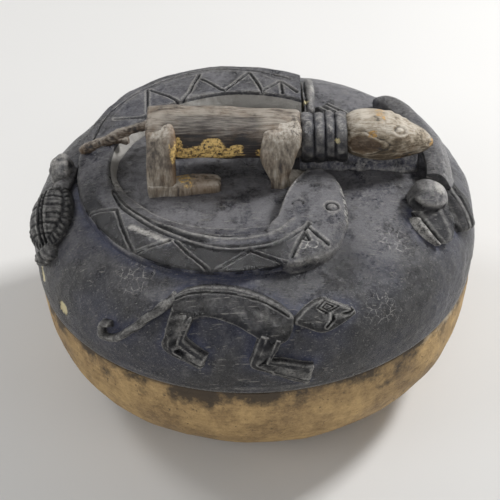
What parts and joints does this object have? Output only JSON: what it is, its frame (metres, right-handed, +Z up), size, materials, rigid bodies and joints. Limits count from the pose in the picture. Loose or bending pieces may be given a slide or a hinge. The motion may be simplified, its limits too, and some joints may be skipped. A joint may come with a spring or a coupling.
{
  "type": "lidded divination bowl",
  "caption": "Round carved wooden bowl with inner compartments and a domed lid bearing a coiled serpent, an animal for a handle and other beasts in relief.",
  "frame": {"origin": "centre of the flat base that the bowl rests on", "axes": "+Z up through the lid's crown, +X from the handle animal's tail towards its nose, -Y towards the relief beast on the front"},
  "size_m": [0.368, 0.3747, 0.2487],
  "materials": {
    "bowl_wood": "oiled tan hardwood, darkened by handling below the rim",
    "compartment_wood": "plain tool-cut hardwood",
    "lid_paint": "carved hardwood under worn blue-black paint",
    "neck_paint": "carved hardwood under thick dark paint",
    "handle_wood": "handled hardwood, paint worn off to brown wood"
  },
  "bodies": {
    "bowl": {"bowl_shell": "bowl_wood", "centre_well_ring": "compartment_wood", "partition_1": "compartment_wood", "partition_2": "compartment_wood", "partition_3": "compartment_wood", "partition_4": "compartment_wood"},
    "lid": {"lid_dome": "lid_paint", "serpent_band": "lid_paint", "serpent_head": "lid_paint", "serpent_tail_bar": "lid_paint", "handle_trunk": "handle_wood", "handle_neck": "neck_paint", "handle_head": "handle_wood", "handle_neck_web": "lid_paint", "handle_tail": "handle_wood", "handle_hind_leg_near": "handle_wood", "handle_fore_leg_near": "handle_wood", "handle_hind_leg_far": "handle_wood", "handle_fore_leg_far": "handle_wood", "beast_body": "lid_paint", "beast_head": "lid_paint", "beast_tail": "lid_paint", "beast_hind_legs": "lid_paint", "beast_fore_legs": "lid_paint", "tortoise_shell": "lid_paint", "tortoise_head": "lid_paint", "tortoise_foot": "lid_paint", "bird_body": "lid_paint", "bird_head": "lid_paint", "bird_bill": "lid_paint", "bird_wing": "lid_paint"}
  },
  "joints": [
    {"name": "lid_lift", "type": "slide", "parent": "bowl", "child": "lid", "axis": [0, 0, 1], "range_m": [0, 0.15]}
  ]
}
